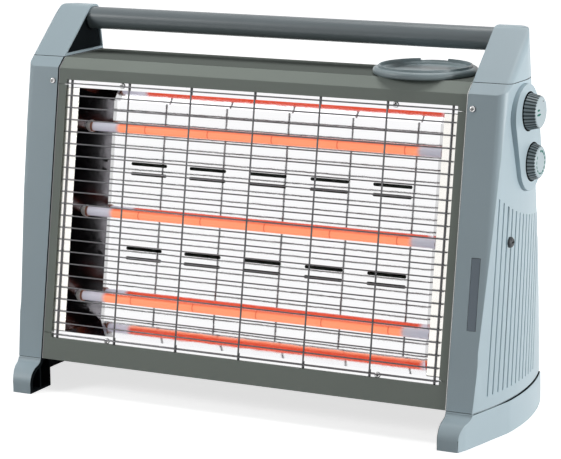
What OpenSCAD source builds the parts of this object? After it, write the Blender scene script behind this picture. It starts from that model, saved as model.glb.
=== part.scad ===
// Free-standing quartz radiant heater with three glowing tubes behind a wire guard.
// Two moulded end housings stand on hollow feet and carry a sheet-metal body, a tubular
// carrying handle and, on the right, two rotary controls. A round water tray sits on the hood.
// +X runs to the right along the tubes, the radiant face looks to -Y and leans back, +Z is up.
// The origin is at the middle of the overall box, on the floor.

/* [Body] */
// Clear width between the two end housings
span_w = 494; // [470:1:560]
// Width of the flat front face of each end post
post_w = 31.5; // [30:0.5:34]
// How far the bulging side of a housing stands out from its inner rim
side_reach = 44; // [43:0.5:48]
// Radius of that bulge, seen from above
side_r = 335; // [320:5:380]
// Depth at which the bulge is widest, from the toes
bulge_y = 120; // [114:1:126]
// Depth of the body at floor level, from the toes to the back
base_depth = 231; // [228:1:246]
// Distance from the toes back to the leaning front face, at floor level
toe_reach = 17.5; // [16:0.5:20]
// Lean of the front face from upright, in degrees
front_lean = 9.2; // [8.8:0.1:9.6]
// Lean of the back face from upright, in degrees
back_lean = 8.8; // [8.4:0.1:9.2]
// Height of the bend where the front face turns into the shoulder
bend_z = 360.5; // [358:0.5:362]
// Slope of the shoulder above level, in degrees
shoulder_slope = 41; // [40:0.5:42]
// Height of the seam between end housing and handle bracket
seam_z = 371; // [370:0.5:374]
// Height of the handle brackets above that seam
bracket_h = 52; // [50:0.5:55]
// Wall of the plastic mouldings
wall = 2.6; // [2.2:0.1:3]
// Thickness of the body's sheet metal
sheet = 1; // [0.8:0.1:1.2]
// How far the sheet metal lies behind the faces of the housings
sheet_inset = 1.5; // [1.2:0.1:1.8]

/* [Edges] */
// Radius along the outer edge of the front posts
post_edge_r = 11; // [9:0.5:11.5]
// Radius along the outer edge of the shoulders
shoulder_edge_r = 7.5; // [5:0.5:8]
// Radius along the outer back edges
back_edge_r = 33; // [28:1:38]
// Radius at the front of a handle bracket's top
bracket_nose_r = 12; // [8:0.5:13]
// Radius at the back of a handle bracket's top
bracket_heel_r = 7; // [5:0.5:8]

/* [Feet] */
// Height of the feet, up to the parting line
foot_h = 36; // [35:0.5:38]
// How far a foot stands outside the housing above it
foot_lip = 1.8; // [1:0.1:2.4]
// Radius of the toe's round front
toe_r = 19; // [18:0.5:20]
// Height of the middle of that round front
toe_z = 10; // [9:0.5:11]
// Width of the toe's flat front
toe_w = 21.5; // [19:0.5:23]
// Radius of the toe's outer corner
toe_edge_r = 5; // [3:0.5:6]
// Slope of the instep above level, in degrees
instep_slope = 20; // [17:1:23]
// Radius where the instep turns up into the front face
instep_r = 8; // [6:0.5:9]
// Length of the toe and heel blocks that stand on the floor
pad_len = 42; // [38:1:46]
// Height of the arch between them
arch_h = 24; // [20:0.5:26]
// Wall of the feet
foot_wall = 3; // [2.5:0.1:3.4]
// Height of the groove below the parting line
groove_h = 1.2; // [0.8:0.1:1.6]
// Depth of that groove
groove_d = 2; // [1.4:0.1:2.2]

/* [Side fluting] */
// Number of flutes on each side
flute_n = 13; // [8:1:14]
// Spacing of the flutes
flute_pitch = 10.1; // [9.5:0.1:10.5]
// Width of a flute
flute_w = 2.4; // [1.6:0.1:3]
// Depth of a flute
flute_d = 1.4; // [0.8:0.1:1.6]
// Depth position of the first flute at its foot
flute_y = 46.8; // [45:0.2:49]
// Height of the flutes' foot
flute_z = 49.5; // [46:0.5:56]
// Lean of the flutes from upright, in degrees
flute_lean = 5.4; // [4:0.2:7]

/* [Radiant face] */
// Width of the sheet strip at each end of the opening
strip_w = 9.5; // [9:0.1:12]
// Height of the bottom panel's front strip below the opening
front_strip_h = 25.2; // [23:0.1:27]
// Height of the hood's front flange above the opening
front_flange_h = 13.3; // [12:0.1:14]
// Height of the ears at the corners of the opening
ear_h = 5; // [4:0.5:7]
// Depth of the reflector trough behind its lips
trough_d = 42.5; // [40:0.5:45]
// Visible height of the reflector's top and bottom lips
lip_h = 8; // [7.5:0.1:9]
// How far the trough's top and bottom walls draw in
flare = 12.2; // [11:0.1:15]
// Width of the flanges at the trough's ends
end_flange_w = 15.5; // [14:0.1:16.5]
// How far the trough's end walls draw in
end_flare = 21; // [18:0.5:22]
// Thickness of the reflector sheet
reflector_t = 0.8; // [0.6:0.1:1]
// Slots in each row of the reflector
slot_n = 5; // [3:1:5]
// Spacing of the slots
slot_pitch = 74.8; // [66:0.2:78]
// Length of a slot
slot_l = 46; // [40:0.1:50]
// Height of a slot
slot_h = 3.8; // [2.5:0.1:5]
// Distance between the two slots of a pair
slot_gap = 11; // [9:0.5:14]

/* [Tubes] */
// Outer diameter of a quartz tube
tube_d = 10.4; // [9.8:0.1:12]
// Wall of a quartz tube
tube_wall = 1.2; // [1:0.1:1.5]
// Spacing of the tubes
tube_pitch = 95.5; // [90:0.5:98]
// Depth of the tubes' axes behind the front face
tube_depth = 22; // [20:0.5:24]
// How far the tubes sit to the right of the middle
tube_shift = 3; // [0:0.5:4]
// Diameter of the wound heating coil
coil_d = 7; // [5:0.5:7.5]
// Unlit length between the coil and the ceramic ends
cold_l = 29.5; // [20:0.5:40]
// Outer diameter of the ceramic end pieces
ceramic_d = 13.5; // [13:0.5:15]
// How far the ceramic pieces stand out of the trough's left end wall
ceramic_nose = 1; // [0.5:0.1:3]

/* [Guard] */
// Diameter of the guard wires
wire_d = 2; // [1.7:0.1:2.2]
// Spacing of the level wires
wire_pitch = 13.45; // [12.8:0.05:13.5]
// Number of level wires
wire_n = 22; // [18:1:22]
// Number of upright wires
upright_n = 7; // [5:2:9]

/* [Handle] */
// Diameter of the handle tube
handle_d = 25; // [22:0.5:25.5]
// Wall of the handle tube
handle_wall = 1.5; // [1.2:0.1:2]
// How far the tube reaches into each bracket
handle_grip = 18; // [14:1:22]
// Plastic between the tube and a bracket's shoulder
handle_cover = 2.4; // [2:0.1:3]
// Plastic between the tube and a bracket's top
handle_crown = 2.4; // [2.2:0.1:3]

/* [Controls] */
// How far the bezel's face stands out from the widest point of the housing
bezel_rise = 4.3; // [3.5:0.1:5]
// Depth of the bezel's skirt
bezel_depth = 21; // [18:0.5:24]
// Upper round of the bezel: depth position
bezel_top_y = 122; // [119:0.5:125]
// Upper round of the bezel: height
bezel_top_z = 334.5; // [332:0.5:335]
// Upper round of the bezel: radius
bezel_top_r = 33; // [31:0.5:33]
// Lower round of the bezel: depth position
bezel_low_y = 135; // [132:0.5:138]
// Lower round of the bezel: height
bezel_low_z = 284; // [282:0.5:286]
// Lower round of the bezel: radius
bezel_low_r = 31; // [29:0.5:32]
// Depth position of the selector's axis
selector_y = 127; // [125:0.5:129]
// Height of the selector's axis
selector_z = 338; // [336:0.5:340]
// Depth position of the thermostat's axis
thermostat_y = 139; // [137:0.5:141]
// Height of the thermostat's axis
thermostat_z = 283; // [281:0.5:285]
// Diameter of a knob at its foot
knob_d = 39; // [36:0.5:40]
// Diameter of a knob at its face
knob_face_d = 33; // [30:0.2:34.4]
// Length of the selector knob
selector_knob_l = 12.6; // [11:0.1:16]
// Length of the thermostat knob
thermostat_knob_l = 8.2; // [8:0.1:10.8]
// Number of grip flutes round a knob
knob_flute_n = 30; // [20:1:34]
// Diameter of the spindles
spindle_d = 6; // [5.5:0.1:6.5]
// Running clearance round a spindle
running = 0.05; // [0.03:0.01:0.08]
// Fitting clearance round the bezel and the lens
fit = 0.15; // [0.1:0.05:0.25]

/* [Indicator] */
// Width of the indicator lens
lens_w = 9.6; // [8:0.2:10.4]
// Height of the indicator lens, measured up the leaning face
lens_h = 75.4; // [60:0.2:84]
// Distance of the lens's middle from the inner edge of the post
lens_x = 21.8; // [20:0.2:22.4]
// Height of the lens's middle, measured up the leaning face
lens_s = 159.6; // [140:0.2:180]

/* [Water tray] */
// Distance of the tray's middle from the right housing
tray_in = 71; // [67:1:110]
// Radius of the round ring that rests on the hood
tray_ring_r = 56; // [54:0.5:58]
// Height of that ring
tray_ring_h = 7.7; // [7:0.1:8.4]
// Radius of the upstanding lip
tray_lip_r = 50; // [49:0.5:51]
// Height of the lip above the hood
tray_lip_h = 10; // [9.5:0.5:11]
// Wall of the tray
tray_wall = 1.8; // [1.5:0.1:2.2]
// Radius of the shallow dish inside the lip
dish_r = 45; // [42:0.5:46]
// Radius of the spigot that sits in the hood's hole
spigot_r = 36; // [30:0.5:38]
// Depth of the spigot below the hood
spigot_l = 6; // [4:0.5:8]
// Width of the notch in the lip
notch_w = 30; // [24:1:40]
// Depth of the notch in the lip
notch_h = 2.6; // [1.5:0.1:3]

/* [Fasteners] */
// Shank diameter of the sheet-metal screws
screw_d = 3.5; // [3:0.1:4]
// Head diameter of the sheet-metal screws
screw_head_d = 6.4; // [6:0.1:7]
// Shank length of the sheet-metal screws
screw_l = 9; // [8:0.5:10]
// Head height of the sheet-metal screws
screw_head_h = 1.6; // [1.2:0.1:1.7]
// Head diameter of the dark side screws
side_head_d = 11.4; // [10:0.2:12]
// Height of the dark side screws' heads
side_head_h = 4.4; // [3.5:0.1:5]
// Depth position of the side screws
side_screw_y = 90.3; // [84:0.1:96]
// Height of the side screws
side_screw_z = 205.6; // [190:0.2:220]

/* [Hidden] */
$fn = 96;

eps = 0.01;                             // overlap that fuses two solids of one piece
past = 1;                               // how far a cut runs past what it cuts
far = 700;                              // longer than anything on the heater
fine = 200;                             // facets on the large radii

// ---- Layout -------------------------------------------------------------------------------

top_z = seam_z + bracket_h;             // overall height
rim_x = span_w / 2;                     // inner rims of the housings
side_x = rim_x + side_reach;            // widest point of a housing
barrel_x = side_x - side_r;             // axis of the bulge
post_x = rim_x + post_w;                // outer edge of a post's flat face
foot_x = side_x + foot_lip;             // widest point of a foot
clad_x = rim_x - sheet;                 // the end plates lie between the body and the rims
bezel_x = side_x + bezel_rise;
knob_air = 0.5;                         // gap between a knob and the bezel
knob_x = bezel_x + knob_air + selector_knob_l;

// Front face, shoulder and back face as lines in the side view, each set in by t
function front_y(z, t = 0) = toe_reach + t / cos(front_lean) + z * tan(front_lean);
function back_y(z, t = 0) = base_depth - t / cos(back_lean) - z * tan(back_lean);
function shoulder_y(z, t = 0) =
    front_y(bend_z) + (z - bend_z + t / cos(shoulder_slope)) / tan(shoulder_slope);
function shoulder_z(y, t = 0) =
    bend_z + (y - front_y(bend_z)) * tan(shoulder_slope) - t / cos(shoulder_slope);
// Where the front face meets the shoulder
function bend_point(t = 0) =
    let (y = (front_y(0, t) + shoulder_z(0, t) * tan(front_lean)) / (1 - tan(front_lean) * tan(shoulder_slope)))
    [y, shoulder_z(y, t)];
// A point up the leaning face by s and in from it by n, as [depth, height]
function face_point(s, n) =
    [toe_reach + s * sin(front_lean) + n * cos(front_lean), s * cos(front_lean) - n * sin(front_lean)];
// How far out the bulge is at depth y, set in by t
function bulge_x(y, t = 0) = barrel_x + sqrt(pow(side_r - t, 2) - pow(y - bulge_y, 2));

// Levels on the leaning face
opening_x = clad_x - strip_w;
opening_low = foot_h / cos(front_lean) + front_strip_h;
opening_high = bend_z / cos(front_lean) - front_flange_h;
opening_mid = (opening_low + opening_high) / 2;
lip_edge_low = opening_low + lip_h;
lip_edge_high = opening_high - lip_h;

// Layers behind the leaning face: sheet, upright wires, lips, rails
sheet_back = sheet_inset + sheet;
lip_n = sheet_back + wire_d;
rail_n = lip_n + reflector_t;
back_n = lip_n + trough_d;

hood_drop = 0.5;                        // the hood lies this far below the seams
hood_z = seam_z - hood_drop;

// ---- Helpers ------------------------------------------------------------------------------

// A side-view outline, drawn as [depth, height], run along X
module along_x(x0, len) { translate([x0, 0, 0]) rotate([90, 0, 90]) linear_extrude(len) children(); }
// The leaning front face: x across, y into the body, z up the face
module leaning() { translate([0, toe_reach, 0]) rotate([-front_lean, 0, 0]) children(); }
// The leaning back face: x across, y into the body, z up the face
module back_leaning() { translate([0, base_depth, 0]) rotate([back_lean, 0, 0]) mirror([0, 1, 0]) children(); }
// All pieces are laid out from the toes and the middle of the body, then set over the
// middle of the overall box
module placed() { translate([-(knob_x - foot_x) / 2, -base_depth / 2, 0]) children(); }
module on_left() { mirror([1, 0, 0]) children(); }

function unit(v) = v / norm(v);
function back_ray(p, i) = unit(p[(i + len(p) - 1) % len(p)] - p[i]);
function next_ray(p, i) = unit(p[(i + 1) % len(p)] - p[i]);
function half_angle(p, i) = acos(back_ray(p, i) * next_ray(p, i)) / 2;
function round_centre(p, i, r) = p[i] + unit(back_ray(p, i) + next_ray(p, i)) * r / sin(half_angle(p, i));

// Points along an arc from angle a0 to angle a1
arc_step = 4;
function arc(c, r, a0, a1) =
    let (n = ceil(abs(a1 - a0) / arc_step))
    [for (k = [0 : n]) let (a = a0 + (a1 - a0) * k / n) c + r * [cos(a), sin(a)]];
function direction(v) = atan2(v[1], v[0]);

// A corner of the outline p, rounded with radius r, or kept where r is 0
function corner(p, i, r) = r == 0 ? [p[i]] :
    let (c = round_centre(p, i, r), a0 = direction(p[i] + back_ray(p, i) * r / tan(half_angle(p, i)) - c),
         turn = (180 - 2 * half_angle(p, i)) * sign(cross(next_ray(p, i), back_ray(p, i))))
    arc(c, r, a0, a0 + turn);
module rounded(p, r) { polygon([for (i = [0 : len(p) - 1]) each corner(p, i, r[i])]); }

// Two circles and their outer tangents
module egg(c1, r1, c2, r2) {
    phi = direction(c2 - c1);
    a = acos((r1 - r2) / norm(c2 - c1));
    polygon(concat(arc(c1, r1, phi + a, phi - a + 360), arc(c2, r2, phi - a, phi + a)));
}

module slot_2d(l, h) {
    square([l - h, h], center = true);
    for (s = [-1, 1]) translate([s * (l - h) / 2, 0]) circle(h / 2);
}

// Sheet of thickness t bent through the points p, on their right-hand side
function right_of(d) = [d[1], -d[0]];
function offset_points(p, t) = [for (i = [0 : len(p) - 1])
    let (a = right_of(unit(p[i] - p[max(i - 1, 0)] + (i == 0 ? p[1] - p[0] : [0, 0]))),
         b = right_of(unit(p[min(i + 1, len(p) - 1)] - p[i] + (i == len(p) - 1 ? p[i] - p[i - 1] : [0, 0]))),
         m = unit(a + b))
    p[i] + m * t / (m * a)];
module bent(p, t) {
    q = offset_points(p, t);
    polygon(concat(p, [for (i = [len(q) - 1 : -1 : 0]) q[i]]));
}

// Pan-head screw: head above z = 0 with a cross recess, shank below
module pan_screw(head_d, head_h, shank_l) {
    rim = 0.6;                          // share of the head's height below its taper
    cross_l = head_d * 0.56;
    cross_w = head_d * 0.13;
    cross_d = head_h * 0.5;
    difference() {
        union() {
            cylinder(d = head_d, h = head_h * rim);
            translate([0, 0, head_h * rim]) cylinder(d1 = head_d, d2 = head_d * 0.7, h = head_h * (1 - rim));
            translate([0, 0, -shank_l]) cylinder(d = screw_d, h = shank_l + eps);
        }
        for (a = [0, 90]) rotate([0, 0, a])
            translate([-cross_l / 2, -cross_w / 2, head_h - cross_d]) cube([cross_l, cross_w, cross_d + past]);
    }
}
module hole(d, from, to) { translate([0, 0, from]) cylinder(d = d, h = to - from); }

// ---- End housings -------------------------------------------------------------------------

edge_draft = 12;                        // the side leaves an edge's rounding at this angle

// Plan of a face (y = 0) with a rounded outer edge, set in by t
module edge_plan(flat_x, r, t) {
    touch = [flat_x, r] + (r - t) * [cos(edge_draft), -sin(edge_draft)];
    polygon([[-far, t], [flat_x, t], [flat_x, r], touch,
        touch + far * [sin(edge_draft), cos(edge_draft)], [-far, far]]);
    translate([flat_x, r]) circle(r - t);
}
module edge_prism(flat_x, r, t) { translate([0, 0, -far / 2]) linear_extrude(2 * far) edge_plan(flat_x, r, t); }
module barrel(t) { translate([barrel_x, bulge_y, -past]) cylinder(r = side_r - t, h = top_z + 2 * past, $fn = fine); }

// A side outline made into the bulging form of a right-hand moulding, from x0 outwards
module housing_form(t, x0) {
    intersection() {
        along_x(x0, side_reach + 20) children();
        barrel(t);
        leaning() edge_prism(post_x, post_edge_r, t);
        translate([0, front_y(bend_z), bend_z]) rotate([shoulder_slope - 90, 0, 0])
            edge_prism(side_x - shoulder_edge_r, shoulder_edge_r, t);
        back_leaning() edge_prism(side_x - back_edge_r - foot_lip, back_edge_r, t);
    }
}
module housing_side(t, z0, z1) {
    polygon([[front_y(z0, t), z0], bend_point(t), [shoulder_y(z1, t), z1], [back_y(z1, t), z1], [back_y(z0, t), z0]]);
}

flute_arc = [182, 440];                 // the flutes end on this arc: centre and radius
flute_arc_r = 218;
module flutes() {
    bar_h = seam_z - flute_z;
    shift = bar_h * tan(flute_lean);
    intersection() {
        difference() {
            translate([rim_x, 0, 0]) cube([side_reach + past, base_depth, seam_z]);
            barrel(flute_d);
        }
        along_x(rim_x, side_reach + past) difference() {
            for (i = [0 : flute_n - 1]) translate([flute_y + i * flute_pitch, flute_z])
                polygon([[0, 0], [flute_w, 0], [flute_w + shift, bar_h], [shift, bar_h]]);
            translate(flute_arc) circle(flute_arc_r, $fn = fine);
        }
    }
}

boss_r = 5;                             // bosses that take the screws
boss_in = 20;                           // their distance from the pads of the feet
foot_screw_at = [for (y = [pad_len + boss_in, back_y(0) - pad_len - boss_in / 2]) [rim_x + boss_in, y]];
foot_boss_h = 16;
bracket_screw_at = [for (y = [shoulder_y(seam_z) + 24, back_y(seam_z) - 15.6]) [rim_x + 19, y]];
bracket_boss_h = 14;
post_screw_x = rim_x + 6.4;
post_screw_s = opening_high - 2;
side_seat_x = bulge_x(side_screw_y) - 0.9;

module side_column(z) {
    intersection() {
        translate([rim_x, side_screw_y, z]) rotate([0, 90, 0]) cylinder(r = boss_r, h = side_reach);
        barrel(wall / 2);
    }
}
module column_hole(z) {
    translate([0, side_screw_y, z]) rotate([0, 90, 0]) {
        hole(screw_d, clad_x - past, side_x + past);
        hole(side_head_d + 2 * fit, side_seat_x, side_x + side_head_h);
    }
}

// Moulded shell of a right-hand housing; children cut further openings in it
module end_housing() {
    color([0.66, 0.74, 0.76]) difference() {
        union() {
            difference() {
                housing_form(0, rim_x) housing_side(0, foot_h, seam_z);
                housing_form(wall, rim_x - past) housing_side(wall, foot_h + wall, seam_z - wall);
            }
            side_column(side_screw_z);
            for (p = foot_screw_at) translate([p[0], p[1], foot_h + wall - eps]) cylinder(r = boss_r, h = foot_boss_h);
        }
        flutes();
        column_hole(side_screw_z);
        for (p = foot_screw_at) translate([p[0], p[1], 0]) hole(screw_d, foot_h - past, foot_h + wall + foot_boss_h + past);
        for (p = bracket_screw_at) translate([p[0], p[1], 0]) hole(screw_d, seam_z - wall - past, seam_z + past);
        leaning() translate([post_screw_x, 0, post_screw_s]) rotate([-90, 0, 0]) hole(screw_d, -past, wall + past);
        children();
    }
}
module left_end_housing() { on_left() end_housing(); }
module right_end_housing() {
    end_housing() {
        along_x(side_x - bezel_depth, side_reach) bezel_outline(-fit);
        lens_block(fit, -past, wall + past);
    }
}

// Steel plate that closes a housing and carries the body, with a tab behind the post
ceramic_neck_d = 10;
module end_plate() {
    tab_w = 12;
    tab_h = 20;
    gap_l = 60;
    gap_w = 8;
    color([0.45, 0.48, 0.47]) difference() {
        union() {
            along_x(clad_x, sheet) polygon([[front_y(foot_h, sheet_inset), foot_h], bend_point(sheet_inset),
                [shoulder_y(hood_z, sheet_inset), hood_z], [back_y(hood_z, sheet_inset), hood_z],
                [back_y(foot_h, sheet_inset), foot_h]]);
            leaning() translate([clad_x, wall, post_screw_s - tab_h / 2]) cube([sheet + tab_w, sheet, tab_h]);
        }
        along_x(clad_x - past, 3 * sheet + past) for (k = [-1 : 1])
            translate([back_y(0) - 71 + 20 * k, 110]) rotate(90) slot_2d(gap_l, gap_w);
        leaning() for (i = [-1 : 1]) translate([0, tube_depth, tube_mid + i * tube_pitch])
            rotate([0, 90, 0]) hole(ceramic_neck_d, clad_x - past, rim_x + past);
        leaning() translate([post_screw_x, 0, post_screw_s]) rotate([-90, 0, 0]) hole(screw_d, wall - past, wall + sheet + past);
        column_hole(side_screw_z);
    }
}
module left_end_plate() { on_left() end_plate(); }
module right_end_plate() { end_plate(); }

// ---- Handle -------------------------------------------------------------------------------

handle_z = top_z - handle_crown - handle_d / 2;
handle_y = shoulder_y(handle_z, handle_cover + handle_d / 2);

module bracket_side(t, low) {
    high = top_z - t;
    rounded([[shoulder_y(low, t), low], [shoulder_y(high, t), high], [back_y(high, t), high], [back_y(low, t), low]],
        [0, bracket_nose_r - t, bracket_heel_r - t, 0]);
}

// Moulded shell, open towards the body, with a socket for the tube and bosses for its screws
cover_in = 2.5;                         // the black cover lies this far inside the shell
cover_t = 2;
socket_wall = 3;
module on_handle_axis() { translate([0, handle_y, handle_z]) rotate([0, 90, 0]) children(); }
module handle_bracket() {
    behind_cover = rim_x + cover_in + cover_t;
    color([0.62, 0.69, 0.72]) difference() {
        union() {
            difference() {
                housing_form(0, rim_x) bracket_side(0, seam_z);
                housing_form(wall, rim_x - past) bracket_side(wall, seam_z + wall);
            }
            intersection() {
                housing_form(wall / 2, behind_cover) bracket_side(wall / 2, seam_z);
                union() {
                    on_handle_axis() hole(handle_d + 2 * socket_wall, behind_cover, side_x);
                    for (p = bracket_screw_at) translate([p[0], p[1], 0]) hole(2 * boss_r, seam_z, top_z);
                }
            }
        }
        on_handle_axis() hole(handle_d, rim_x, rim_x + handle_grip);
        intersection() {
            on_handle_axis() hole(handle_d - 2 * socket_wall, rim_x + handle_grip - past, side_x);
            housing_form(wall, rim_x) bracket_side(wall, seam_z + wall);
        }
        for (p = bracket_screw_at) translate([p[0], p[1], 0]) hole(screw_d, seam_z - past, seam_z + wall + bracket_boss_h);
    }
}
module left_handle_bracket() { on_left() handle_bracket(); }
module right_handle_bracket() { handle_bracket(); }

// Black cover inside a bracket's shell, with a collar round the tube
module bracket_cover() {
    collar_wall = 1.8;
    collar_h = 1.6;
    gap = wall + fit;
    color([0.07, 0.08, 0.09]) difference() {
        intersection() {
            housing_form(gap, rim_x) bracket_side(gap, seam_z + gap);
            union() {
                translate([rim_x + cover_in, 0, seam_z]) cube([cover_t, base_depth, bracket_h]);
                on_handle_axis() hole(handle_d + 2 * collar_wall, rim_x + cover_in - collar_h, rim_x + cover_in + eps);
            }
        }
        on_handle_axis() hole(handle_d, rim_x, rim_x + handle_grip);
        // nothing is left above and behind the tube
        along_x(rim_x, handle_grip) translate([handle_y, handle_z]) square(2 * handle_d);
    }
}
module left_bracket_cover() { on_left() bracket_cover(); }
module right_bracket_cover() { bracket_cover(); }

module handle_tube() {
    reach = rim_x + handle_grip;
    color([0.36, 0.41, 0.44]) on_handle_axis() difference() {
        hole(handle_d, -reach, reach);
        hole(handle_d - 2 * handle_wall, -reach - past, reach + past);
    }
}

// ---- Feet ---------------------------------------------------------------------------------

// The side outline runs from the toe's round front up the instep and turns into the front face
toe_mid = [toe_r, toe_z];
toe_touch = toe_mid + toe_r * [-sin(instep_slope), cos(instep_slope)];
instep_rise = toe_touch[1] - toe_touch[0] * tan(instep_slope);
instep_y = (toe_reach + instep_rise * tan(front_lean)) / (1 - tan(instep_slope) * tan(front_lean));
instep_back = instep_r * tan((90 - front_lean - instep_slope) / 2);
instep_mid = [instep_y, instep_rise + instep_y * tan(instep_slope)]
    - instep_back * [cos(instep_slope), sin(instep_slope)] + instep_r * [-sin(instep_slope), cos(instep_slope)];

module foot_side(high) {
    over = foot_h + instep_r;           // the outline is drawn up to here, then cut off
    intersection() {
        polygon(concat([[0, 0]], arc(toe_mid, toe_r, 180, 90 + instep_slope),
            arc(instep_mid, instep_r, instep_slope - 90, -front_lean),
            [[front_y(over), over], [back_y(over), over], [back_y(0), 0]]));
        square([base_depth, high]);
    }
}
module foot_plan(t) {
    intersection() {
        barrel(t - foot_lip);
        edge_prism(rim_x + toe_w, toe_edge_r, t);
        back_leaning() edge_prism(foot_x - back_edge_r - 2 * foot_lip, back_edge_r, t);
    }
}

module foot() {
    heel = back_y(0) - pad_len;
    neck_low = foot_h - groove_h;
    web = foot_lip + foot_wall;         // walls stay inside the groove's neck
    drop = 1.15 * foot_wall;            // the pockets' roof follows the toe at this distance
    toe_rib = pad_len / 2;
    heel_rib = heel + pad_len / 2;
    pockets = [[web, toe_rib - foot_wall / 2], [toe_rib + foot_wall / 2, pad_len - foot_wall],
        [heel + foot_wall, heel_rib - foot_wall / 2], [heel_rib + foot_wall / 2, back_y(foot_h) - foot_wall]];
    color([0.64, 0.72, 0.75]) difference() {
        union() {
            intersection() {
                along_x(rim_x, side_reach + 20) foot_side(neck_low);
                foot_plan(0);
            }
            housing_form(groove_d, rim_x) polygon([[front_y(neck_low, groove_d), neck_low - past],
                [front_y(foot_h, groove_d), foot_h], [back_y(foot_h, groove_d), foot_h],
                [back_y(neck_low, groove_d), neck_low - past]]);
            // the groove runs round the side and the back only
            along_x(rim_x, post_w - groove_d) polygon([[front_y(neck_low), neck_low - eps], [front_y(foot_h), foot_h],
                [front_y(foot_h, 2 * groove_d), foot_h], [front_y(neck_low, 2 * groove_d), neck_low - eps]]);
        }
        // arch between toe and heel, open to the floor and to the inside
        intersection() {
            translate([rim_x - past, pad_len, -past]) cube([side_reach, heel - pad_len, arch_h + past]);
            foot_plan(foot_wall);
        }
        intersection() {
            translate([rim_x + foot_wall, pad_len, -past]) cube([side_reach, heel - pad_len, foot_h - foot_wall + past]);
            foot_plan(web);
        }
        // pockets in toe and heel, open to the inside, with a rib between each pair
        intersection() {
            for (p = pockets) translate([rim_x - past, p[0], foot_wall]) cube([side_reach, p[1] - p[0], foot_h]);
            foot_plan(web);
            along_x(rim_x - past, side_reach) translate([drop, -drop]) foot_side(foot_h);
        }
        for (p = foot_screw_at) translate([p[0], p[1], 0]) hole(screw_d, arch_h, foot_h + past);
    }
}
module left_foot() { on_left() foot(); }
module right_foot() { foot(); }

// ---- Sheet-metal body ---------------------------------------------------------------------

back_fold = 14;                         // flanges that overlap the rear panel
tray_x = rim_x - tray_in;
tray_y = (shoulder_y(hood_z) + back_y(hood_z)) / 2;
tray_air = 1;                           // clearance round the spigot in the hood

rear_screw_x = [-220, -75, 75, 220] * span_w / 494;
rear_screw_s = [foot_h + back_fold / 2, hood_z - back_fold / 2] / cos(back_lean);
module rear_screw_places() {
    for (x = rear_screw_x, s = rear_screw_s)
        back_leaning() translate([x, sheet_inset, s]) rotate([90, 0, 0]) children();
}
// Cuts the radiant opening between two levels on the leaning face
module opening_cut(low, high) {
    leaning() translate([-opening_x, sheet_inset - past, low]) cube([2 * opening_x, sheet + 2 * past, high - low]);
}

module hood() {
    color([0.44, 0.47, 0.44]) difference() {
        along_x(-clad_x, 2 * clad_x) bent([face_point(opening_high - ear_h, sheet_inset), bend_point(sheet_inset),
            [shoulder_y(hood_z, sheet_inset), hood_z], [back_y(hood_z, sheet_inset), hood_z],
            [back_y(hood_z - back_fold, sheet_inset), hood_z - back_fold]], sheet);
        translate([tray_x, tray_y, hood_z]) hole(2 * (spigot_r + tray_air), -sheet - past, past);
        opening_cut(opening_high - 2 * ear_h, opening_high);
        rear_screw_places() hole(screw_d, -sheet - past, past);
    }
}

vent_n = 9;                             // slots in each row of air slots
vent_pitch = 2 * clad_x / (vent_n + 1);
vent_l = 35;
vent_w = 5;
module bottom_panel() {
    vent_y = [for (k = [-1 : 1]) base_depth / 2 + 4.5 + k * 30];
    color([0.42, 0.45, 0.43]) difference() {
        along_x(-clad_x, 2 * clad_x) bent([[back_y(foot_h + back_fold, sheet_inset), foot_h + back_fold],
            [back_y(foot_h, sheet_inset), foot_h], [front_y(foot_h, sheet_inset), foot_h],
            face_point(opening_low + ear_h, sheet_inset)], sheet);
        opening_cut(opening_low, opening_low + 2 * ear_h);
        for (i = [0 : vent_n - 1], y = vent_y)
            translate([(i - (vent_n - 1) / 2) * vent_pitch, y, foot_h - past])
                linear_extrude(sheet + 2 * past) slot_2d(vent_l, vent_w);
        rear_screw_places() hole(screw_d, -sheet - past, past);
    }
}

cord_x = -150;
cord_s = 72;
bush_d = 14;
module rear_panel() {
    vent_rows = [for (k = [1 : 4]) hood_z - 30 - k * 22];
    low = (foot_h + 3 * sheet) / cos(back_lean);
    high = (hood_z - 3 * sheet) / cos(back_lean);
    color([0.40, 0.43, 0.41]) difference() {
        back_leaning() translate([-clad_x, sheet_back, low]) cube([2 * clad_x, sheet, high - low]);
        for (s = vent_rows, i = [0 : vent_n - 1])
            back_leaning() translate([(i - (vent_n - 1) / 2) * vent_pitch, 0, s]) rotate([-90, 0, 0])
                linear_extrude(sheet_back + sheet + past) slot_2d(vent_l, vent_w);
        back_leaning() translate([cord_x, 0, cord_s]) rotate([-90, 0, 0]) hole(bush_d, 0, sheet_back + sheet + past);
        rear_screw_places() hole(screw_d, -2 * sheet - past, past);
    }
}

module side_strip() {
    seam = 0.5;                         // gap to the ears of hood and bottom panel
    low = opening_low + ear_h + seam;
    high = opening_high - ear_h - seam;
    color([0.40, 0.43, 0.40]) leaning() {
        translate([opening_x, sheet_inset, low]) cube([strip_w, sheet, high - low]);
        translate([clad_x - sheet, sheet_inset, low]) cube([sheet, rail_n - sheet_inset, high - low]);
    }
}
module left_side_strip() { on_left() side_strip(); }
module right_side_strip() { side_strip(); }

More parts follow.
